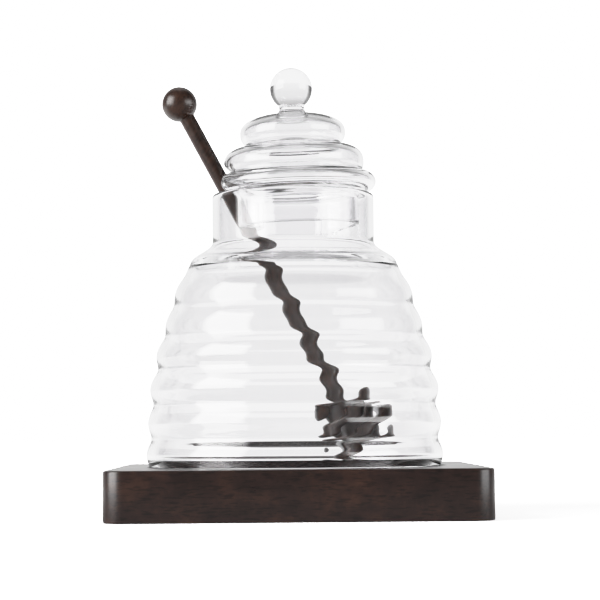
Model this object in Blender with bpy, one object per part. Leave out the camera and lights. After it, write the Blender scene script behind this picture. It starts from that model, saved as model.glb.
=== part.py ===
"""A honey pot: a blown glass jar ribbed like a beehive, its glass lid with a notch for the dipper,
the turned wooden dipper that leans in it, and the square wooden board that the jar stands in.

Metres, +Z up. The origin is the middle of the board's underside. The dipper leaves the pot towards -X,
and the front of the pot is its -Y side. Heights of the glass are taken from the board's top face.
"""

from math import acos, cos, hypot, pi, radians, sin, sqrt

import bmesh
import bpy
from mathutils import Matrix

# Board
BOARD_WIDTH = 0.127
BOARD_THICKNESS = 0.017
BOARD_CORNER = 0.0072
BOARD_EDGE = 0.0007
RECESS_RADIUS = 0.0526
RECESS_DEPTH = 0.0020
GAP = 0.0003

# Jar, from its foot in the board's recess up to its rim. It stands a little left in the recess.
JAR_SHIFT = -0.0007
JAR_FOOT = GAP - RECESS_DEPTH
JAR_RIM = 0.0959
JAR_WALL = 0.0022
JAR_FLOOR = 0.0024
FOOT_ROUND = 0.0015
GROOVE_RADIUS = 0.05064
TAPER_DROP = 0.01203
TAPER_HEIGHT = 0.0668
TAPER_POWER = 2.316
GROOVE_HEIGHTS = (JAR_FOOT, 0.0097, 0.0215, 0.0339, 0.0456, 0.0563, 0.0677)
RIB_BULGES = (0.0015, 0.00134, 0.0017, 0.00145, 0.00085, 0.00106)
GROOVE_SOFTNESS = 0.4
SHOULDER_LOW = 0.0721
SHOULDER_HIGH = 0.0792
NECK_RADIUS = 0.02865

# Lid
LID_WALL = 0.0017
KNOB_HEIGHT = 0.1328
KNOB_RADIUS = 0.0076
KNOB_NECK_RADIUS = 0.0046
DOME_TOP = 0.1237
DOME_WIDEST = 0.1167
DOME_RADIUS = 0.01875
DOME_POWER = 2.48
RING_TOP = 0.1118
RING_WIDEST = 0.1059
RING_BASE = 0.0169
RING_RADIUS = 0.0249
RING_POWER = 2.42
FLANGE_TOP = 0.1022
FLANGE_LOW = 0.0950
FLANGE_BASE = 0.0247
FLANGE_RADIUS = 0.0289
COLLAR_RADIUS = 0.0224
COLLAR_LOW = 0.0832
NOTCH_DEPTH = 0.0092
NOTCH_FLOOR_ANGLE = radians(13)
NOTCH_EDGE_ANGLE = radians(36)
NOTCH_START = 0.1118
NOTCH_FULL = 0.0986
LID_LEAN = radians(1.7)
LID_SHIFT = 0.0007
LID_LIFT = 0.0010

# Dipper
DIPPER_LENGTH = 0.14475
DIPPER_TILT = radians(28.15)
BALL_RADIUS = 0.00625
BALL_X = -0.0408
BALL_HEIGHT = 0.1285
STICK_RADIUS = 0.00277
HEAD_CORE = 0.0076
DISC_RADII = (0.0108, 0.0125, 0.0137, 0.0119)
DISC_THICKNESS = 0.0029
DISC_PITCH = 0.0054
DISC_ROUND = 0.0005

# How finely the round forms are divided
JAR_SEGMENTS = 40
JAR_STEPS_A_RIB = 4
SHOULDER_STEPS = 6
LID_SEGMENTS = 48
BALL_STEPS = 7
DOME_STEPS = 14
RING_STEPS = 8
FLANGE_STEPS = 6
DIPPER_SEGMENTS = 20
CORNER_STEPS = 7
EDGE_STEPS = 2
RECESS_SEGMENTS = 64


def clear_scene():
    for thing in list(bpy.data.objects):
        bpy.data.objects.remove(thing, do_unlink=True)


def make_material(name, colour, roughness, transmission=0.0):
    material = bpy.data.materials.new(name)
    material.use_nodes = True
    shader = material.node_tree.nodes["Principled BSDF"]
    shader.inputs["Base Color"].default_value = (*colour, 1.0)
    shader.inputs["Roughness"].default_value = roughness
    shader.inputs["Metallic"].default_value = 0.0
    shader.inputs["Transmission Weight"].default_value = transmission
    return material


def make_object(name, bm, material, crease_angle=radians(40)):
    """Puts a finished bmesh into the scene as a smooth shaded object."""
    mesh = bpy.data.meshes.new(name)
    bm.to_mesh(mesh)
    bm.free()
    mesh.shade_smooth()
    mesh.set_sharp_from_angle(angle=crease_angle)
    mesh.materials.append(material)
    thing = bpy.data.objects.new(name, mesh)
    bpy.context.scene.collection.objects.link(thing)
    return thing


def turned_solid(section, segments):
    """Spins an open section of (radius, height) points, whose ends lie on the axis, into a closed body."""
    bm = bmesh.new()
    points = [bm.verts.new((radius, 0.0, height)) for radius, height in section]
    edges = [bm.edges.new(pair) for pair in zip(points, points[1:])]
    bmesh.ops.spin(
        bm, geom=points + edges, cent=(0, 0, 0), axis=(0, 0, 1), angle=2 * pi, steps=segments, use_merge=True
    )
    bmesh.ops.remove_doubles(bm, verts=bm.verts, dist=1e-6)
    bmesh.ops.recalc_face_normals(bm, faces=bm.faces)
    return bm


def inner_wall(section, wall):
    """An upward section moved inwards, square to itself, by the thickness of the glass."""
    moved = []
    last = len(section) - 1
    for i, (radius, height) in enumerate(section):
        before, after = section[max(i - 1, 0)], section[min(i + 1, last)]
        along = (after[0] - before[0], after[1] - before[1])
        length = hypot(*along)
        moved.append((radius - wall * along[1] / length, height + wall * along[0] / length))
    return moved


def round_lip(middle, height, wall, upward, steps=4):
    """Half a circle from the outer to the inner face of a glass edge, without its two ends."""
    way = 1 if upward else -1
    turns = [pi * step / steps for step in range(1, steps)]
    return [(middle + wall / 2 * cos(turn), height + way * wall / 2 * sin(turn)) for turn in turns]


def hive_radius(height):
    """Outer radius of the jar: a curved taper, a swelling rib between grooves, and the bend into the neck."""
    radius = GROOVE_RADIUS - TAPER_DROP * (max(height, 0.0) / TAPER_HEIGHT) ** TAPER_POWER
    for low, high, bulge in zip(GROOVE_HEIGHTS, GROOVE_HEIGHTS[1:], RIB_BULGES):
        if low < height < high:
            swing = sin(pi * (height - low) / (high - low))
            soft = sqrt(swing**2 + GROOVE_SOFTNESS**2) - GROOVE_SOFTNESS
            radius += bulge * soft / (sqrt(1 + GROOVE_SOFTNESS**2) - GROOVE_SOFTNESS)
    bend = (height - SHOULDER_LOW) / (SHOULDER_HIGH - SHOULDER_LOW)
    body_share = (1 + cos(pi * min(max(bend, 0.0), 1.0))) / 2
    return NECK_RADIUS + (radius - NECK_RADIUS) * body_share


def jar_heights():
    """The heights of the jar's section, bottom to top: even steps in each rib, closer ones in the shoulder."""
    heights = []
    for low, high in zip(GROOVE_HEIGHTS, GROOVE_HEIGHTS[1:]):
        heights += [low + (high - low) * step / JAR_STEPS_A_RIB for step in range(JAR_STEPS_A_RIB)]
    heights = [height for height in heights if height > JAR_FOOT + FOOT_ROUND]
    shoulder = SHOULDER_HIGH - GROOVE_HEIGHTS[-1]
    heights += [GROOVE_HEIGHTS[-1] + shoulder * step / SHOULDER_STEPS for step in range(SHOULDER_STEPS + 1)]
    return heights + [(SHOULDER_HIGH + JAR_RIM) / 2, JAR_RIM - JAR_WALL / 2]


def build_jar(glass):
    outer = [(hive_radius(height), height) for height in jar_heights()]
    inner = inner_wall(outer, JAR_WALL)
    foot_radius = hive_radius(JAR_FOOT + FOOT_ROUND)
    foot = []
    for turn in (0, pi / 6, pi / 3):
        across = foot_radius - FOOT_ROUND * (1 - sin(turn))
        foot.append((across, JAR_FOOT + FOOT_ROUND * (1 - cos(turn))))
    floor_height = JAR_FOOT + JAR_FLOOR
    wall_start = [point for point in inner if point[1] > floor_height + JAR_FLOOR]
    corner_radius = wall_start[0][0]
    corner = []
    for turn in (0, pi / 6, pi / 3):
        drop = wall_start[0][1] - floor_height
        corner.append((corner_radius - drop * (1 - cos(turn)), wall_start[0][1] - drop * sin(turn)))
    section = [(0.0, JAR_FOOT)] + foot + outer
    section += round_lip(NECK_RADIUS - JAR_WALL / 2, JAR_RIM - JAR_WALL / 2, JAR_WALL, upward=True)
    section += wall_start[::-1] + corner[1:]
    section += [(corner_radius - wall_start[0][1] + floor_height, floor_height), (0.0, floor_height)]
    jar = make_object("jar", turned_solid(section, JAR_SEGMENTS), glass)
    jar.location = (JAR_SHIFT, 0, BOARD_THICKNESS)
    return jar


def band(base, widest, power, top, middle, low, steps):
    """Points down a rounded band of glass, from its top through its widest radius to its lower edge."""
    points = []
    for step in range(steps + 1):
        turn = pi / 2 - pi * step / steps
        reach = abs(cos(turn)) ** (2 / power)
        rise = abs(sin(turn)) ** (2 / power)
        height = middle + (top - middle) * rise if turn > 0 else middle - (middle - low) * rise
        points.append((base + (widest - base) * reach, height))
    return points


def ball_section(radius, stem_radius, height):
    """Down the outline of a ball, from its top to where a stem of the given radius leaves it."""
    end = pi - acos(sqrt(1 - (stem_radius / radius) ** 2))
    turns = [end * step / BALL_STEPS for step in range(BALL_STEPS + 1)]
    return [(radius * sin(turn), height + radius * cos(turn)) for turn in turns]


def knob_outer():
    """The solid glass ball on top of the lid, and the short neck under it."""
    ball = ball_section(KNOB_RADIUS, KNOB_NECK_RADIUS, KNOB_HEIGHT)
    return ball + [(KNOB_NECK_RADIUS, (ball[-1][1] + DOME_TOP) / 2)]


def cap_outer():
    """The lid's outer section under its knob: dome, ring and flange, down to the edge of its collar."""
    dome_low = 2 * DOME_WIDEST - DOME_TOP
    dome = band(0.0, DOME_RADIUS, DOME_POWER, DOME_TOP, DOME_WIDEST, dome_low, DOME_STEPS)
    dome = [(r, h) for r, h in dome if r > KNOB_NECK_RADIUS + LID_WALL / 4 and h > RING_TOP + LID_WALL / 4]
    ring_low = 2 * RING_WIDEST - RING_TOP
    ring = band(RING_BASE, RING_RADIUS, RING_POWER, RING_TOP, RING_WIDEST, ring_low, RING_STEPS)
    ring = [(r, h) for r, h in ring[1:] if h > FLANGE_TOP + LID_WALL / 4]
    flange_middle = (FLANGE_TOP + FLANGE_LOW) / 2
    flange = band(FLANGE_BASE, FLANGE_RADIUS, 2.0, FLANGE_TOP, flange_middle, FLANGE_LOW, FLANGE_STEPS)
    collar_top = FLANGE_LOW - LID_WALL
    collar = [(COLLAR_RADIUS, height) for height in (collar_top, COLLAR_LOW + LID_WALL / 2)]
    return dome + ring + flange + collar


def notch_depth(height, angle):
    """How far the notch dents the lid inwards at a height and at an angle from the -X side."""
    down = min(max((NOTCH_START - height) / (NOTCH_START - NOTCH_FULL), 0.0), 1.0)
    around = (abs(angle) - NOTCH_FLOOR_ANGLE) / (NOTCH_EDGE_ANGLE - NOTCH_FLOOR_ANGLE)
    share = (1 + cos(pi * min(max(around, 0.0), 1.0))) / 2
    return NOTCH_DEPTH * share * down * down * (3 - 2 * down)


def dent_lid(bm):
    """Moves the walls of the turned lid inwards, both faces alike, to make room for the dipper."""
    for vert in bm.verts:
        radius = hypot(vert.co.x, vert.co.y)
        if radius < KNOB_RADIUS:
            continue
        angle = acos(max(-1.0, min(1.0, -vert.co.x / radius)))
        keep = (radius - notch_depth(vert.co.z, angle)) / radius
        vert.co.x *= keep
        vert.co.y *= keep


def build_lid(glass):
    cap = cap_outer()
    inner = inner_wall(cap[::-1], LID_WALL)
    inner[1] = (COLLAR_RADIUS - LID_WALL, inner[1][1])
    inner.append((0.0, DOME_TOP - LID_WALL))
    lip = round_lip(COLLAR_RADIUS - LID_WALL / 2, COLLAR_LOW + LID_WALL / 2, LID_WALL, upward=False)
    bm = turned_solid(knob_outer() + cap + lip + inner, LID_SEGMENTS)
    dent_lid(bm)
    lid = make_object("lid", bm, glass)
    seat = Matrix.Translation((0, 0, JAR_RIM))
    lean = seat @ Matrix.Rotation(-LID_LEAN, 4, "Y") @ seat.inverted()
    lid.matrix_world = Matrix.Translation((JAR_SHIFT + LID_SHIFT, 0, BOARD_THICKNESS + LID_LIFT)) @ lean
    return lid


def disc_section(radius, low):
    """One disc of the dipper's head, top face first, with rounded edges."""
    high = low + DISC_THICKNESS
    return [
        (HEAD_CORE, high),
        (radius - DISC_ROUND, high),
        (radius, high - DISC_ROUND),
        (radius, low + DISC_ROUND),
        (radius - DISC_ROUND, low),
        (HEAD_CORE, low),
    ]


def build_dipper(wood):
    """Turned upright about its ball's middle, then laid over to its lean in the pot."""
    foot = BALL_RADIUS - DIPPER_LENGTH
    section = ball_section(BALL_RADIUS, STICK_RADIUS, 0.0)
    low = foot + (len(DISC_RADII) - 1) * DISC_PITCH
    section.append((STICK_RADIUS, low + DISC_THICKNESS))
    for radius in DISC_RADII:
        section += disc_section(radius, low)
        low -= DISC_PITCH
    section[-1] = (0.0, foot)
    dipper = make_object("dipper", turned_solid(section, DIPPER_SEGMENTS), wood)
    dipper.location = (BALL_X, 0, BOARD_THICKNESS + BALL_HEIGHT)
    dipper.rotation_euler = (0, -DIPPER_TILT, 0)
    return dipper


def build_board(wood):
    bm = bmesh.new()
    bmesh.ops.create_cube(bm, size=1.0)
    bmesh.ops.scale(bm, vec=(BOARD_WIDTH, BOARD_WIDTH, BOARD_THICKNESS), verts=bm.verts)
    bmesh.ops.translate(bm, vec=(0, 0, BOARD_THICKNESS / 2), verts=bm.verts)
    upright = [edge for edge in bm.edges if abs(edge.verts[0].co.z - edge.verts[1].co.z) > BOARD_THICKNESS / 2]
    bmesh.ops.bevel(bm, geom=upright, offset=BOARD_CORNER, segments=CORNER_STEPS, profile=0.5, affect="EDGES")
    flat = [edge for edge in bm.edges if abs(edge.verts[0].co.z - edge.verts[1].co.z) < BOARD_EDGE]
    bmesh.ops.bevel(bm, geom=flat, offset=BOARD_EDGE, segments=EDGE_STEPS, profile=0.5, affect="EDGES")
    board = make_object("board", bm, wood)

    cutter_mesh = bmesh.new()
    bmesh.ops.create_cone(
        cutter_mesh,
        cap_ends=True,
        segments=RECESS_SEGMENTS,
        radius1=RECESS_RADIUS,
        radius2=RECESS_RADIUS,
        depth=2 * RECESS_DEPTH,
        matrix=Matrix.Translation((0, 0, BOARD_THICKNESS)),
    )
    cutter = make_object("recess_cutter", cutter_mesh, wood)
    cutter.hide_render = True
    cutter.display_type = "WIRE"
    recess = board.modifiers.new("recess", "BOOLEAN")
    recess.operation = "DIFFERENCE"
    recess.solver = "EXACT"
    recess.object = cutter
    return board


def build_honey_pot():
    clear_scene()
    board_wood = make_material("board_wood", (0.045, 0.022, 0.014), 0.35)
    dipper_wood = make_material("dipper_wood", (0.050, 0.024, 0.015), 0.35)
    jar_glass = make_material("jar_glass", (0.98, 0.99, 0.99), 0.0, transmission=1.0)
    lid_glass = make_material("lid_glass", (0.98, 0.99, 0.99), 0.0, transmission=1.0)
    build_board(board_wood)
    build_jar(jar_glass)
    build_lid(lid_glass)
    build_dipper(dipper_wood)


build_honey_pot()
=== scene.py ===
# %% [markdown]
# # A beehive honey pot in blown glass and dark wood
#
# The real thing is four pieces: a ribbed glass jar, a glass lid with a dent in its side, a turned
# wooden dipper that leans through the dent, and a square wooden board that the jar stands in.
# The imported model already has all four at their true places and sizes. This lesson keeps those
# sizes, draws each piece again with finer curves, and gives it its glass or its wood.

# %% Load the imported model
from math import acos, cos, hypot, pi, radians, sin, sqrt

import bpy
from mathutils import Matrix, Vector


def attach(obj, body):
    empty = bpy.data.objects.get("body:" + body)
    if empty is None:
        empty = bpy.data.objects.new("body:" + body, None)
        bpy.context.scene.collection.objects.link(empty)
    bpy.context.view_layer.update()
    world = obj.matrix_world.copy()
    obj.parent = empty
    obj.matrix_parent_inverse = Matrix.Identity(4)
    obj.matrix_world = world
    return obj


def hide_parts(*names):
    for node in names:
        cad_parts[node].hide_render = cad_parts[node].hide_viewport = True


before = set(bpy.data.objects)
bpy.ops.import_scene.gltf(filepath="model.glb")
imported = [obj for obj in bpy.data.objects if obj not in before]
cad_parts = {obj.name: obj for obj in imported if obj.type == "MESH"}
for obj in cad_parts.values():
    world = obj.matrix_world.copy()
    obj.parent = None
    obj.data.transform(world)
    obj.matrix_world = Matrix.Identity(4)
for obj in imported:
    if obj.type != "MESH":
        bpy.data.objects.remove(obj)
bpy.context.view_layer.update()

# %% [markdown]
# ## Camera first
#
# The pot was photographed from close to table height with a long lens, the camera tipped up a
# little. Settling the camera before the pieces means every later picture can be laid beside the
# photograph. The matrix is made of three plain turns: look along the room, tip up, then roll.

# %% Camera
CAMERA_PLACE = (-0.00758, -0.700, 0.03056)
CAMERA_TIP_UP = radians(3.67)
CAMERA_TURN = radians(-0.745)
CAMERA_ROLL = radians(-0.459)
SENSOR_WIDTH = 36.0
FOCAL_PIXELS = 1981.8
PICTURE_WIDTH = 600.0

camera_data = bpy.data.cameras.new("camera")
camera_data.sensor_width = SENSOR_WIDTH
camera_data.lens = SENSOR_WIDTH * FOCAL_PIXELS / PICTURE_WIDTH
camera_data.clip_start = 0.01
camera = bpy.data.objects.new("camera", camera_data)
bpy.context.scene.collection.objects.link(camera)
camera.matrix_world = (
    Matrix.Translation(CAMERA_PLACE)
    @ Matrix.Rotation(CAMERA_TURN, 4, "Z")
    @ Matrix.Rotation(pi / 2 + CAMERA_TIP_UP, 4, "X")
    @ Matrix.Rotation(CAMERA_ROLL, 4, "Z")
)
bpy.context.scene.camera = camera
print("lens", round(camera_data.lens, 1), "mm")

# %% [markdown]
# ## Working by hand, in code
#
# Blender's operators act on whatever is selected, just as they do under a mouse. So each piece
# starts with nothing selected, a primitive is added, and edit mode does the shaping. These small
# helpers do the parts that every piece needs.


# %% Helpers for selecting and editing
def start_alone():
    """Leaves edit mode and deselects everything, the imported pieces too."""
    if bpy.context.mode != "OBJECT":
        bpy.ops.object.mode_set(mode="OBJECT")
    bpy.ops.object.select_all(action="DESELECT")


def select_edges(piece, wanted):
    """Selects the edges whose two ends pass a test, and goes back to edit mode in edge mode."""
    bpy.ops.object.mode_set(mode="EDIT")
    bpy.ops.mesh.select_mode(type="EDGE")
    bpy.ops.mesh.select_all(action="DESELECT")
    bpy.ops.object.mode_set(mode="OBJECT")
    points = piece.data.vertices
    found = 0
    for edge in piece.data.edges:
        edge.select = wanted(points[edge.vertices[0]].co, points[edge.vertices[1]].co)
        found += edge.select
    bpy.ops.object.mode_set(mode="EDIT")
    return found


def finish_piece(piece, name, crease=radians(35)):
    """Names a piece, shades it smooth up to its creases and applies its place to its mesh."""
    start_alone()
    bpy.context.view_layer.objects.active = piece
    piece.select_set(True)
    bpy.ops.object.transform_apply(location=True, rotation=True, scale=True)
    bpy.ops.object.shade_smooth_by_angle(angle=crease)
    piece.name = piece.data.name = name
    piece.select_set(False)
    print(name, "has", len(piece.data.polygons), "faces")
    return piece


# %% [markdown]
# ## Turning a section on the lathe
#
# Blown glass and turned wood are both round about an axis. So a piece is drawn as a section, one
# half of its outline, and spun once round. A single point is extruded from place to place along
# the section, and the spin operator does what the lathe does.

# %% Turned bodies
MERGE_WITHIN = 1e-6


def turn_section(section, steps):
    """Extrudes a point along a section of (radius, height) pairs and spins it into a closed body."""
    start_alone()
    bpy.ops.mesh.primitive_plane_add(size=0.01, location=(0, 0, 0))
    piece = bpy.context.object
    bpy.ops.object.mode_set(mode="EDIT")
    bpy.ops.mesh.select_all(action="SELECT")
    bpy.ops.mesh.merge(type="CENTER")
    last = Vector((0.0, 0.0, 0.0))
    for i, (radius, height) in enumerate(section):
        place = Vector((radius, 0.0, height))
        if i == 0:
            bpy.ops.transform.translate(value=place - last)
        else:
            bpy.ops.mesh.extrude_region_move(TRANSFORM_OT_translate={"value": place - last})
        last = place
    bpy.ops.mesh.select_all(action="SELECT")
    bpy.ops.mesh.spin(steps=steps, angle=2 * pi, center=(0, 0, 0), axis=(0, 0, 1))
    bpy.ops.mesh.select_all(action="SELECT")
    bpy.ops.mesh.remove_doubles(threshold=MERGE_WITHIN)
    bpy.ops.mesh.normals_make_consistent(inside=False)
    bpy.ops.object.mode_set(mode="OBJECT")
    return piece


def even_steps(low, high, step):
    """Heights from low to high, about a step apart, with both ends."""
    count = max(1, round((high - low) / step))
    return [low + (high - low) * i / count for i in range(count + 1)]


def inner_wall(section, wall):
    """An upward section moved inwards, square to itself, by the thickness of the glass."""
    moved = []
    last = len(section) - 1
    for i, (radius, height) in enumerate(section):
        before, after = section[max(i - 1, 0)], section[min(i + 1, last)]
        along = (after[0] - before[0], after[1] - before[1])
        length = hypot(*along)
        moved.append((radius - wall * along[1] / length, height + wall * along[0] / length))
    return moved


def quarter_turns(count):
    """Angles from nothing to just short of a quarter turn."""
    return [pi / 2 * i / count for i in range(count)]


def round_lip(middle, height, wall, upward, steps=10):
    """Half a circle from the outer to the inner face of a glass edge, without its two ends."""
    way = 1 if upward else -1
    turns = [pi * i / steps for i in range(1, steps)]
    return [(middle + wall / 2 * cos(t), height + way * wall / 2 * sin(t)) for t in turns]


# %% [markdown]
# ## The jar
#
# The jar is blown into a ribbed mould. The outside takes the mould's shape, and the inside follows it
# more softly. That matters: each rib is a small lens, and together they break the straight dipper
# behind them into a zigzag. The section therefore has both faces of the wall. The outline is a curved
# taper with a swelling between each pair of grooves, measured on the photograph. At the bottom the
# glass is left thick where the wall meets the floor. That heel bends the view down on to the dark
# board, and so a dark band shows along the foot.

# %% Jar sizes
BOARD_THICKNESS = 0.017
GAP = 0.0003
JAR_SHIFT = -0.0007
RECESS_DEPTH = 0.0020
JAR_FOOT = GAP - RECESS_DEPTH
JAR_RIM = 0.0959
JAR_WALL = 0.0022
JAR_FLOOR = 0.0024
HEEL_RISE = 0.0021
HEEL_REACH = 0.0024
FOOT_ROUND = 0.0015
GROOVE_RADIUS = 0.05064
TAPER_DROP = 0.01203
TAPER_HEIGHT = 0.0668
TAPER_POWER = 2.316
GROOVE_HEIGHTS = (JAR_FOOT, 0.0097, 0.0215, 0.0339, 0.0456, 0.0563, 0.0677)
RIB_BULGES = (0.0015, 0.00134, 0.0017, 0.00145, 0.00085, 0.00106)
GROOVE_SOFTNESS = 0.4
INNER_SWELL = 0.8
INNER_SOFTNESS = 0.8
SHOULDER = (0.0721, 0.0792)
INNER_SHOULDER = (0.0696, 0.0802)
NECK_RADIUS = 0.02865
GLASS_STEP = 0.0006
JAR_TURNS = 144
FOOT_STEPS = 8
HEEL_STEPS = 4


def hive_radius(height, swell=1.0, softness=GROOVE_SOFTNESS, shoulder=SHOULDER):
    """Radius of the jar: a curved taper, a swelling rib between grooves, and the bend to the neck.

    The outside takes the plain values. The inside line takes its own swell, softness and shoulder."""
    radius = GROOVE_RADIUS - TAPER_DROP * (max(height, 0.0) / TAPER_HEIGHT) ** TAPER_POWER
    for low, high, bulge in zip(GROOVE_HEIGHTS, GROOVE_HEIGHTS[1:], RIB_BULGES):
        if low < height < high:
            swing = sin(pi * (height - low) / (high - low))
            soft = sqrt(swing**2 + softness**2) - softness
            radius += swell * bulge * soft / (sqrt(1 + softness**2) - softness)
    bend = (height - shoulder[0]) / (shoulder[1] - shoulder[0])
    body_share = (1 + cos(pi * min(max(bend, 0.0), 1.0))) / 2
    return NECK_RADIUS + (radius - NECK_RADIUS) * body_share


# %% Jar section
def jar_section():
    """The whole wall: foot, outside, rim, inside and floor, from the axis back to the axis."""
    heights = even_steps(JAR_FOOT + FOOT_ROUND, GROOVE_HEIGHTS[-1], GLASS_STEP)
    heights += even_steps(GROOVE_HEIGHTS[-1], SHOULDER[1], GLASS_STEP / 2)[1:]
    heights += even_steps(SHOULDER[1], JAR_RIM - JAR_WALL / 2, 2 * GLASS_STEP)[1:]
    outer = [(hive_radius(height), height) for height in heights]
    foot_radius = outer[0][0]
    foot = [
        (foot_radius - FOOT_ROUND * (1 - sin(t)), JAR_FOOT + FOOT_ROUND * (1 - cos(t)))
        for t in quarter_turns(FOOT_STEPS)
    ]
    floor_height = JAR_FOOT + JAR_FLOOR
    inside_line = [(hive_radius(h, INNER_SWELL, INNER_SOFTNESS, INNER_SHOULDER), h) for h in heights]
    inner = inner_wall(inside_line, JAR_WALL)
    wall_start = [point for point in inner if point[1] > floor_height + HEEL_RISE]
    shares = [step / HEEL_STEPS for step in range(HEEL_STEPS + 1)]
    heel = [(wall_start[0][0] - HEEL_REACH * s, floor_height + HEEL_RISE * (1 - s)) for s in shares]
    lip = round_lip(NECK_RADIUS - JAR_WALL / 2, JAR_RIM - JAR_WALL / 2, JAR_WALL, upward=True)
    inside = wall_start[::-1] + heel
    base = [(0.0, JAR_FOOT), (foot[0][0] / 2, JAR_FOOT)]
    top_of_floor = [(heel[-1][0] / 2, floor_height), (0.0, floor_height)]
    return base + foot + outer + lip + inside + top_of_floor


jar = turn_section(jar_section(), JAR_TURNS)
jar.location = (JAR_SHIFT, 0, BOARD_THICKNESS)
jar = finish_piece(jar, "hive_jar")

# %% [markdown]
# ## The lid
#
# From the top down: a solid ball knob on a short neck, a low hollow dome, a rounded ring, a wider flange
# that sits on the jar's rim, and a collar that keeps the lid from sliding off. It is one piece of
# glass, so it is one section. Its left side is pushed in while hot, to let the dipper out. That dent
# moves both faces of the wall alike, which no primitive has, so the points are moved by a rule.

# %% Lid sizes
LID_WALL = 0.0017
KNOB_HEIGHT = 0.1328
KNOB_RADIUS = 0.0076
KNOB_NECK_RADIUS = 0.0046
DOME_TOP = 0.1237
DOME_WIDEST = 0.1167
DOME_RADIUS = 0.01875
DOME_POWER = 2.48
RING_TOP = 0.1118
RING_WIDEST = 0.1059
RING_BASE = 0.0169
RING_RADIUS = 0.0249
RING_POWER = 2.42
FLANGE_TOP = 0.1022
FLANGE_LOW = 0.0950
FLANGE_BASE = 0.0247
FLANGE_RADIUS = 0.0289
COLLAR_RADIUS = 0.0224
COLLAR_LOW = 0.0832
NOTCH_DEPTH = 0.0092
NOTCH_FLOOR_ANGLE = radians(10)
NOTCH_EDGE_ANGLE = radians(28)
NOTCH_START = 0.1066
NOTCH_FULL = 0.0988
LID_LEAN = radians(1.7)
LID_SHIFT = 0.0007
LID_LIFT = 0.0010
LID_TURNS = 192
KNOB_STEPS = 28
DOME_STEPS = 56
RING_STEPS = 36
FLANGE_STEPS = 28


def band(base, widest, power, top, middle, low, steps):
    """Points down a rounded band of glass, from its top through its widest radius to its lower edge."""
    points = []
    for step in range(steps + 1):
        turn = pi / 2 - pi * step / steps
        reach = abs(cos(turn)) ** (2 / power)
        rise = abs(sin(turn)) ** (2 / power)
        height = middle + (top - middle) * rise if turn > 0 else middle - (middle - low) * rise
        points.append((base + (widest - base) * reach, height))
    return points


# %% Lid section
def ball_section(radius, stem_radius, height, steps):
    """Down the outline of a ball, from its top to where a stem of the given radius leaves it."""
    end = pi - acos(sqrt(1 - (stem_radius / radius) ** 2))
    turns = [end * step / steps for step in range(steps + 1)]
    return [(radius * sin(turn), height + radius * cos(turn)) for turn in turns]


def knob_outer():
    """The solid glass ball on top of the lid, and the short neck under it."""
    ball = ball_section(KNOB_RADIUS, KNOB_NECK_RADIUS, KNOB_HEIGHT, KNOB_STEPS)
    return ball + [(KNOB_NECK_RADIUS, (ball[-1][1] + DOME_TOP) / 2)]


def cap_outer():
    """The lid's outer section under its knob: dome, ring and flange, down to the edge of its collar."""
    dome_low = 2 * DOME_WIDEST - DOME_TOP
    dome = band(0.0, DOME_RADIUS, DOME_POWER, DOME_TOP, DOME_WIDEST, dome_low, DOME_STEPS)
    spare = LID_WALL / 4
    dome = [(r, h) for r, h in dome if r > KNOB_NECK_RADIUS + spare and h > RING_TOP + spare]
    ring_low = 2 * RING_WIDEST - RING_TOP
    ring = band(RING_BASE, RING_RADIUS, RING_POWER, RING_TOP, RING_WIDEST, ring_low, RING_STEPS)
    ring = [(r, h) for r, h in ring[1:] if h > FLANGE_TOP + spare]
    flange_middle = (FLANGE_TOP + FLANGE_LOW) / 2
    flange = band(FLANGE_BASE, FLANGE_RADIUS, 2.0, FLANGE_TOP, flange_middle, FLANGE_LOW, FLANGE_STEPS)
    collar_heights = even_steps(COLLAR_LOW + LID_WALL / 2, FLANGE_LOW - LID_WALL, GLASS_STEP)[::-1]
    collar = [(COLLAR_RADIUS, height) for height in collar_heights]
    return dome + ring + flange + collar


# %% Turn the lid and dent it
def notch_depth(height, angle):
    """How far the notch dents the lid inwards at a height and at an angle from the -X side."""
    down = min(max((NOTCH_START - height) / (NOTCH_START - NOTCH_FULL), 0.0), 1.0)
    around = (abs(angle) - NOTCH_FLOOR_ANGLE) / (NOTCH_EDGE_ANGLE - NOTCH_FLOOR_ANGLE)
    share = (1 + cos(pi * min(max(around, 0.0), 1.0))) / 2
    return NOTCH_DEPTH * share * down * down * (3 - 2 * down)


def dent(piece):
    """Moves the walls of the turned lid inwards, both faces alike, to make room for the dipper."""
    for point in piece.data.vertices:
        radius = hypot(point.co.x, point.co.y)
        if radius > KNOB_RADIUS:
            angle = acos(max(-1.0, min(1.0, -point.co.x / radius)))
            keep = (radius - notch_depth(point.co.z, angle)) / radius
            point.co.x *= keep
            point.co.y *= keep


cap = cap_outer()
inside = inner_wall(cap[::-1], LID_WALL)
inside[1] = (COLLAR_RADIUS - LID_WALL, inside[1][1])
inside.append((0.0, DOME_TOP - LID_WALL))
lip = round_lip(COLLAR_RADIUS - LID_WALL / 2, COLLAR_LOW + LID_WALL / 2, LID_WALL, upward=False)
lid = turn_section(knob_outer() + cap + lip + inside, LID_TURNS)
dent(lid)
seat = Matrix.Translation((0, 0, JAR_RIM))
lean = seat @ Matrix.Rotation(-LID_LEAN, 4, "Y") @ seat.inverted()
lid.matrix_world = Matrix.Translation((JAR_SHIFT + LID_SHIFT, 0, BOARD_THICKNESS + LID_LIFT)) @ lean
lid = finish_piece(lid, "notched_lid", crease=radians(60))

# %% [markdown]
# ## The dipper
#
# A dipper is turned from one stick of wood: a ball to hold, a plain round shaft, and a head of
# rounded discs with deep grooves that keep the honey while it is carried. It is turned upright here,
# about the middle of its ball, and then laid over to its lean.

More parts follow.
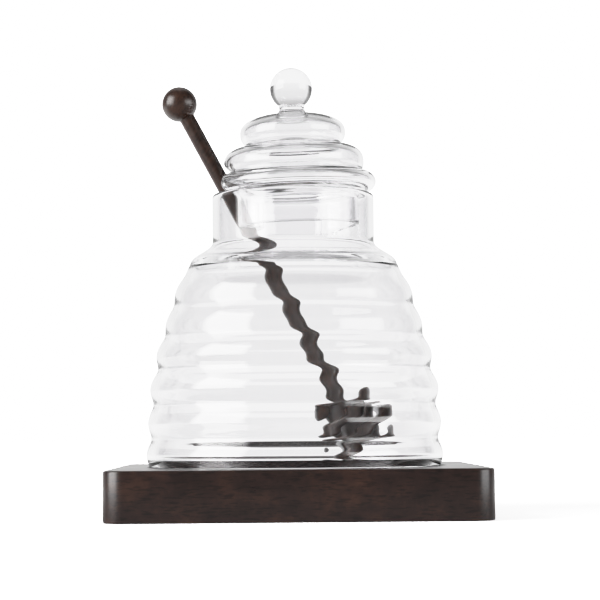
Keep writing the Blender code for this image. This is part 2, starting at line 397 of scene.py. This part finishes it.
# %% Dipper
DIPPER_LENGTH = 0.14475
DIPPER_TILT = radians(28.15)
BALL_RADIUS = 0.00625
BALL_X = -0.0408
BALL_HEIGHT = 0.1285
STICK_RADIUS = 0.00277
HEAD_CORE = 0.0076
DISC_RADII = (0.0108, 0.0125, 0.0137, 0.0119)
DISC_THICKNESS = 0.0029
DISC_PITCH = 0.0054
DISC_ROUND = 0.0008
DIPPER_TURNS = 64
BALL_STEPS = 24
DISC_STEPS = 5
STICK_STEP = 0.003


def disc_section(radius, low):
    """One disc of the dipper's head, top face first, with rounded edges."""
    high = low + DISC_THICKNESS
    turns = quarter_turns(DISC_STEPS) + [pi / 2]
    upper = [(radius - DISC_ROUND * (1 - sin(t)), high - DISC_ROUND * (1 - cos(t))) for t in turns]
    lower = [(radius - DISC_ROUND * (1 - cos(t)), low + DISC_ROUND * (1 - sin(t))) for t in turns]
    return [(HEAD_CORE, high)] + upper + lower + [(HEAD_CORE, low)]


def dipper_section():
    """From the top of the ball down the shaft and round each disc to the middle of the foot."""
    foot = BALL_RADIUS - DIPPER_LENGTH
    section = ball_section(BALL_RADIUS, STICK_RADIUS, 0.0, BALL_STEPS)
    low = foot + (len(DISC_RADII) - 1) * DISC_PITCH
    stick_heights = even_steps(low + DISC_THICKNESS, section[-1][1], STICK_STEP)[-2::-1]
    section += [(STICK_RADIUS, height) for height in stick_heights]
    for radius in DISC_RADII:
        section += disc_section(radius, low)
        low -= DISC_PITCH
    section[-1] = (0.0, foot)
    return section


dipper = turn_section(dipper_section(), DIPPER_TURNS)
ball_place = Matrix.Translation((BALL_X, 0, BOARD_THICKNESS + BALL_HEIGHT))
dipper.matrix_world = ball_place @ Matrix.Rotation(-DIPPER_TILT, 4, "Y")
dipper = finish_piece(dipper, "honey_dipper", crease=radians(50))

# %% [markdown]
# ## The board
#
# The jar stands in a shallow round recess, so that it can't slide off. The board starts as a cube
# at its real size. Its upright corners are bevelled widely, its flat edges only a little, a round
# cutter sinks the recess, and the cut edge gets the tiny bevel that a sanded edge has.

# %% Board
BOARD_WIDTH = 0.127
BOARD_CORNER = 0.0072
BOARD_EDGE = 0.0007
RECESS_RADIUS = 0.0526
RECESS_EDGE = 0.0003
CORNER_STEPS = 16
EDGE_STEPS = 4
RECESS_TURNS = 192
RECESS_SEGMENTS = 3

start_alone()
bpy.ops.mesh.primitive_cube_add(size=1.0, location=(0, 0, BOARD_THICKNESS / 2))
board = bpy.context.object
board.scale = (BOARD_WIDTH, BOARD_WIDTH, BOARD_THICKNESS)
bpy.ops.object.transform_apply(location=True, rotation=True, scale=True)
select_edges(board, lambda a, b: abs(a.z - b.z) > BOARD_THICKNESS / 2)
bpy.ops.mesh.bevel(offset=BOARD_CORNER, segments=CORNER_STEPS, profile=0.5, affect="EDGES")
flat_edges = select_edges(board, lambda a, b: abs(a.z - b.z) < BOARD_EDGE)
bpy.ops.mesh.bevel(offset=BOARD_EDGE, segments=EDGE_STEPS, profile=0.5, affect="EDGES")
print("rounded", flat_edges, "flat edges of the board")

# %% Recess
start_alone()
bpy.ops.mesh.primitive_cylinder_add(
    vertices=RECESS_TURNS, radius=RECESS_RADIUS, depth=2 * RECESS_DEPTH, location=(0, 0, BOARD_THICKNESS)
)
cutter = bpy.context.object
start_alone()
bpy.context.view_layer.objects.active = board
board.select_set(True)
recess = board.modifiers.new("recess", "BOOLEAN")
recess.operation = "DIFFERENCE"
recess.solver = "EXACT"
recess.object = cutter
bpy.ops.object.modifier_apply(modifier=recess.name)
bpy.data.objects.remove(cutter, do_unlink=True)


def on_recess_edge(a, b):
    """True for an edge that lies on the circle where the recess meets the top face."""
    on_top = min(a.z, b.z) > BOARD_THICKNESS - MERGE_WITHIN
    return on_top and all(abs(hypot(p.x, p.y) - RECESS_RADIUS) < MERGE_WITHIN * 10 for p in (a, b))


recess_edges = select_edges(board, on_recess_edge)
bpy.ops.mesh.bevel(offset=RECESS_EDGE, segments=RECESS_SEGMENTS, profile=0.5, affect="EDGES")
print("softened", recess_edges, "edges round the recess")
board = finish_piece(board, "recessed_board")

# %% [markdown]
# ## Shader sums written as Python
#
# A procedural material is arithmetic on patterns. Wrapping a socket in a small class lets that
# arithmetic be written as ordinary sums, and each sum adds its Math node to the material.


# %% A socket that can be used in sums
class Amount:
    """A number that varies over a surface."""

    def __init__(self, finish, socket):
        self.finish, self.socket = finish, socket

    def join(self, operation, first, second):
        """Adds a Math node for two amounts or plain numbers."""
        return self.finish.node("ShaderNodeMath", {"operation": operation}, {0: first, 1: second})

    def __add__(self, other):
        return self.join("ADD", self, other)

    def __sub__(self, other):
        return self.join("SUBTRACT", self, other)

    def __rsub__(self, other):
        return self.join("SUBTRACT", other, self)

    def __mul__(self, other):
        return self.join("MULTIPLY", self, other)

    def __truediv__(self, other):
        return self.join("DIVIDE", self, other)

    __radd__ = __add__
    __rmul__ = __mul__


class Finish:
    """A material under construction. Every node comes from node()."""

    def __init__(self, name):
        self.material = bpy.data.materials.new(name)
        self.material.use_nodes = True
        self.tree = self.material.node_tree
        self.shader = self.tree.nodes["Principled BSDF"]

    def node(self, kind, settings=None, sockets=None, output=0):
        """Adds a node, sets its settings, then its socket values or links, and gives back one output."""
        made = self.tree.nodes.new(kind)
        for key, value in (settings or {}).items():
            if key == "stops":
                self.set_stops(made.color_ramp, value)
            else:
                setattr(made, key, value)
        for key, value in (sockets or {}).items():
            self.feed(made.inputs[key], value)
        return Amount(self, made.outputs[output])

    def set_stops(self, ramp, stops):
        """Gives a colour ramp its (position, colour) stops."""
        while len(ramp.elements) > 1:
            ramp.elements.remove(ramp.elements[-1])
        ramp.elements[0].position, ramp.elements[0].color = stops[0][0], (*stops[0][1], 1.0)
        for position, colour in stops[1:]:
            ramp.elements.new(position).color = (*colour, 1.0)

    def feed(self, socket, value):
        """Links an amount to a socket, or sets a plain value on it."""
        if isinstance(value, Amount):
            self.tree.links.new(value.socket, socket)
        else:
            socket.default_value = value

    def set(self, **sockets):
        """Sets or links sockets of the Principled shader, named with _ for each space."""
        for name, value in sockets.items():
            self.feed(self.shader.inputs[name.replace("_", " ")], value)

    def place(self, turn=(0.0, 0.0, 0.0), stretch=(1.0, 1.0, 1.0)):
        """Object coordinates, turned and stretched by a Mapping node."""
        where = self.node("ShaderNodeTexCoord", output="Object")
        return self.stretched(where, stretch, turn)

    def stretched(self, where, stretch, turn=(0.0, 0.0, 0.0)):
        """Coordinates run through one more Mapping node."""
        mapping = {"Vector": where, "Rotation": turn, "Scale": stretch}
        return self.node("ShaderNodeMapping", {"vector_type": "POINT"}, mapping)

    def smooth_step(self, amount, start, end, low=0.0, high=1.0):
        """A soft step from low to high while the amount goes from start to end."""
        span = {"Value": amount, "From Min": start, "From Max": end, "To Min": low, "To Max": high}
        return self.node("ShaderNodeMapRange", {"interpolation_type": "SMOOTHSTEP"}, span)

    def noise(self, where, scale, detail=2.0, roughness=0.5, distortion=0.0):
        """A noise pattern from 0 to 1."""
        values = {"Vector": where, "Scale": scale, "Detail": detail, "Roughness": roughness}
        return self.node("ShaderNodeTexNoise", None, values | {"Distortion": distortion})

    def ramp(self, amount, stops):
        """A colour ramp of (position, colour) stops."""
        return self.node("ShaderNodeValToRGB", {"stops": stops}, {"Fac": amount})

    def bump(self, height, strength, distance):
        """A bump from a height pattern, its distance in metres."""
        values = {"Height": height, "Strength": strength, "Distance": distance}
        return self.node("ShaderNodeBump", None, values)


# %% [markdown]
# ## Glass
#
# Clear glass has no colour of its own. What shows is the light bent through it, so the wall's two
# faces have to be real, and the finish only adds what the blower leaves: slow waves in the wall and
# a fire-polished skin. Transmission and the index of refraction are the same all over, so they
# are set on the shader itself.

# %% Glass finish
GLASS_INDEX = 1.50
WAVE_SCALE = 55.0
WAVE_DEPTH = 0.00002
WAVE_STRETCH = (1.0, 1.0, 0.45)
STREAK_SCALE = 220.0
STREAK_STRETCH = (1.0, 1.0, 0.12)
STREAK_ROUGHNESS = 0.006
GLASS_SHADE = (0.980, 0.9775, 0.986)
GLASS_CLEAR = (0.995, 0.992, 1.0)


def blown_glass(name):
    """Clear glass with slow waves round the pot and faint upright streaks."""
    glass = Finish(name)
    waves = glass.noise(glass.place(stretch=WAVE_STRETCH), WAVE_SCALE, detail=1.0)
    streaks = glass.noise(glass.place(stretch=STREAK_STRETCH), STREAK_SCALE)
    glass.set(Transmission_Weight=1.0, IOR=GLASS_INDEX)
    glass.set(Base_Color=glass.ramp(streaks, [(0.3, GLASS_SHADE), (0.7, GLASS_CLEAR)]))
    glass.set(Roughness=streaks * STREAK_ROUGHNESS)
    glass.set(Normal=glass.bump(waves, 1.0, WAVE_DEPTH))
    return glass.material


# %% [markdown]
# ## Dark stained wood
#
# The board and the dipper are stained nearly black-brown, and sealed with a satin lacquer. Stain
# soaks into open grain more than into hard grain, so the colour is mottled in long streaks, with a
# red warmth where it is thin. The lacquer turns the board's top almost white at a low angle.

# %% Wood finish
BOARD_STAIN = ((0.0125, 0.0062, 0.005), (0.032, 0.0155, 0.0125), (0.068, 0.030, 0.019))
DIPPER_STAIN = ((0.016, 0.0072, 0.005), (0.044, 0.0205, 0.0135), (0.092, 0.041, 0.024))
LACQUER = 0.6
LACQUER_ROUGHNESS = 0.26
WOOD_ROUGHNESS = 0.32
GRAIN_STRETCH = (0.22, 1.0, 1.0)
PORE_STRETCH = (0.16, 1.0, 1.0)
CLOUD_SHARE = 0.6
PORE_SHARE = 0.4
GRAIN_DEPTH = 0.00012


def stained_wood(name, stain_colours, turn):
    """Wood from its dark, middle and warm stain. Its grain runs along X before the turn."""
    dark, middle, warm = stain_colours
    wood = Finish(name)
    where = wood.place(turn=turn)
    along = wood.stretched(where, GRAIN_STRETCH)
    cloud = wood.noise(where, 90.0, detail=5.0, roughness=0.7)
    grain = wood.noise(along, 260.0, detail=6.0, roughness=0.65, distortion=0.4)
    pores = wood.noise(wood.stretched(where, PORE_STRETCH), 1500.0)
    depth = grain * (1 - CLOUD_SHARE) + cloud * CLOUD_SHARE
    stain = wood.ramp(depth, [(0.32, dark), (0.5, middle), (0.68, warm)])
    pore_mask = wood.ramp(pores, [(0.36, (0.55, 0.55, 0.55)), (0.46, (1.0, 1.0, 1.0))])
    multiply = {"data_type": "RGBA", "blend_type": "MULTIPLY"}
    colour = wood.node("ShaderNodeMix", multiply, {0: 1.0, 6: stain, 7: pore_mask}, output=2)
    wood.set(Base_Color=colour, IOR=1.5, Coat_Weight=LACQUER, Coat_Roughness=LACQUER_ROUGHNESS)
    wood.set(Roughness=WOOD_ROUGHNESS + (grain - 0.5) * 0.25)
    wood.set(Normal=wood.bump(grain * (1 - PORE_SHARE) + pores * PORE_SHARE, 0.6, GRAIN_DEPTH))
    return wood.material


jar_glass = blown_glass("jar_glass")
lid_glass = blown_glass("lid_glass")
board_wood = stained_wood("board_wood", BOARD_STAIN, turn=(0.0, 0.0, 0.0))
dipper_wood = stained_wood("dipper_wood", DIPPER_STAIN, turn=(0.0, pi / 2 - DIPPER_TILT, 0.0))

# %% Give each piece its finish and its body, and hide the imported part
for piece, node, slot, material in (
    (jar, "jar", "glass", jar_glass),
    (lid, "lid", "glass", lid_glass),
    (dipper, "dipper", "wood", dipper_wood),
    (board, "board", "wood", board_wood),
):
    piece.data.materials.clear()
    piece.data.materials.append(material)
    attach(piece, "root")
    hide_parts(node)

# %% [markdown]
# ## The studio
#
# Glass shows the room, not itself. A white room makes it vanish, so a photographer keeps the wall
# behind it white and stands dark boards at its sides, which draw the dark lines along its edges.
# Two soft lights stand to the left and the right of the camera. The room is built by direction: one
# ramp runs from straight behind the pot (0 degrees) round either side to the camera (180), and one
# from straight down (0) to straight up (180). The camera sees the floor plain and pale. Everything
# else sees it glow, a painted light, bright behind the pot and dim in front, a painted shade. The
# camera sees the room as paper white, and the glass sees its greys.

# %% Floor
FLOOR_HALF = 4.0
FLOOR_SEEN = 6.0  # for the camera alone, past white, so that the paper stays blank
FLOOR_BEHIND = (0.12, 1.3)  # metres behind the pot's middle, and how strongly the floor glows from there on, a painted light
FLOOR_FRONT = (-0.06, 0.3)  # the same for the floor in front, where the dimmer glow is a painted shade
start_alone()
bpy.ops.mesh.primitive_circle_add(vertices=64, radius=FLOOR_HALF, fill_type="NGON", location=(0, 0, 0))
floor = finish_piece(bpy.context.object, "pale_floor")
paint = Finish("floor_paint")
where = paint.node("ShaderNodeTexCoord", output="Object")
depth = paint.node("ShaderNodeSeparateXYZ", None, {"Vector": where}, output="Y")
# The floor glows rather than being lit: painted light behind the pot, fading to painted shade in front.
painted_light_strength = paint.smooth_step(depth, FLOOR_FRONT[0], FLOOR_BEHIND[0], FLOOR_FRONT[1], FLOOR_BEHIND[1])
mottle = 0.98 + paint.noise(paint.place(), 3.0) * 0.04
painted_light_shader = paint.node("ShaderNodeEmission", None, {"Strength": painted_light_strength * mottle})
matt = paint.node("ShaderNodeBsdfDiffuse", None, {"Color": (FLOOR_SEEN, FLOOR_SEEN, FLOOR_SEEN, 1.0)})
seen = paint.node("ShaderNodeLightPath", output="Is Camera Ray")
both = paint.node("ShaderNodeMixShader", None, {0: seen, 1: painted_light_shader, 2: matt})
paint.feed(paint.tree.nodes["Material Output"].inputs["Surface"], both)
floor.data.materials.append(paint.material)

# %% Room light by direction
ROUND = [(0.0, 1.0), (38.0, 1.0), (45.0, 0.5), (52.0, 0.1), (95.0, 0.08), (130.0, 0.14), (180.0, 0.14)]
UPWARD = [(0.0, 1.3), (70.0, 1.5), (90.0, 1.06), (104.0, 0.91), (115.0, 0.84), (125.0, 0.65)]
UPWARD += [(135.0, 0.54), (141.0, 0.45), (150.0, 0.6), (160.0, 0.8), (180.0, 0.8)]
FRONT_THROUGH_GLASS = 0.55  # extra light for the views through glass that turn back to the camera
FRONT_SPAN = {"From Min": -0.35, "From Max": -0.7}
CAMERA_WHITE = 5.0
RAMP_TOP = 5.0
PANELS = (  # degrees round from the camera, to the left first; degrees up; light
    ((-88.0, -42.0), (-20.0, 40.0), 7.0),
    ((42.0, 86.0), (-12.0, 20.0), 4.3),
)
PANEL_SOFTNESS = 3.0


class Room(Finish):
    """The same helpers, for the nodes of the world."""

    def __init__(self, tree):
        self.tree = tree

    def math(self, operation, first, second=0.0):
        """A Math node by its name."""
        return self.node("ShaderNodeMath", {"operation": operation}, {0: first, 1: second})

    def curve(self, degrees, stops, top):
        """A value that follows (degrees, value) stops, from 0 to 180 degrees."""
        greys = [(place / 180.0, (value / top,) * 3) for place, value in stops]
        return self.ramp(degrees / 180.0, greys) * top

    def between(self, degrees, low, high):
        """1 between two angles and 0 outside, with soft edges."""
        rise = self.smooth_step(degrees - low, -PANEL_SOFTNESS, PANEL_SOFTNESS)
        fall = self.smooth_step(high - degrees, -PANEL_SOFTNESS, PANEL_SOFTNESS)
        return rise * fall


world = bpy.data.worlds.new("studio")
bpy.context.scene.world = world
world.use_nodes = True
room = Room(world.node_tree)
direction = room.node("ShaderNodeTexCoord", output="Generated")
split = room.node("ShaderNodeSeparateXYZ", None, {"Vector": direction}).socket.node
x, y, z = (Amount(room, out) for out in split.outputs)
from_back = room.math("ARCTAN2", room.math("ABSOLUTE", x), y) * (180 / pi)
from_camera = room.math("ARCTAN2", x, 0.0 - y) * (180 / pi)
up = room.math("ARCSINE", z) * (180 / pi)
wall = room.curve(from_back, ROUND, 1.0)
light = wall * room.curve(up + 90.0, UPWARD, RAMP_TOP)
through = room.node("ShaderNodeLightPath", output="Is Transmission Ray")
in_front = room.node("ShaderNodeMapRange", None, {"Value": y} | FRONT_SPAN)
light = light + through * in_front * FRONT_THROUGH_GLASS
for round_to, up_to, strength in PANELS:
    panel = room.between(from_camera, *round_to) * room.between(up, *up_to)
    light = light * (1.0 - panel) + panel * strength
camera_ray = room.node("ShaderNodeLightPath", output="Is Camera Ray")
light = light * (1.0 - camera_ray) + camera_ray * CAMERA_WHITE
background = world.node_tree.nodes["Background"]
room.feed(background.inputs["Strength"], light)
background.inputs["Color"].default_value = (1.0, 1.0, 1.0, 1.0)
print("room light set from", len(ROUND) + len(UPWARD), "stops and", len(PANELS), "soft panels")

# %% How the picture is made
FILM_WHITE = 5.0
FILM = ((0.25, 0.25), (0.6, 0.6), (0.96, 0.86), (1.3, 0.92), (2.2, 0.98))
scene = bpy.context.scene
scene.view_settings.view_transform = "Standard"
scene.view_settings.use_curve_mapping = True
film = scene.view_settings.curve_mapping
film.white_level = (FILM_WHITE,) * 3  # the curve runs on to here, so light over 1 is still told apart
for place, value in FILM:
    film.curves[3].points.new(place / FILM_WHITE, value)
film.curves[3].points[-1].location = (1.0, 1.0)
film.update()
scene.cycles.max_bounces = 32
scene.cycles.transmission_bounces = 24
scene.cycles.glossy_bounces = 12
scene.cycles.caustics_reflective = True
scene.cycles.caustics_refractive = True
scene.cycles.use_denoising = True
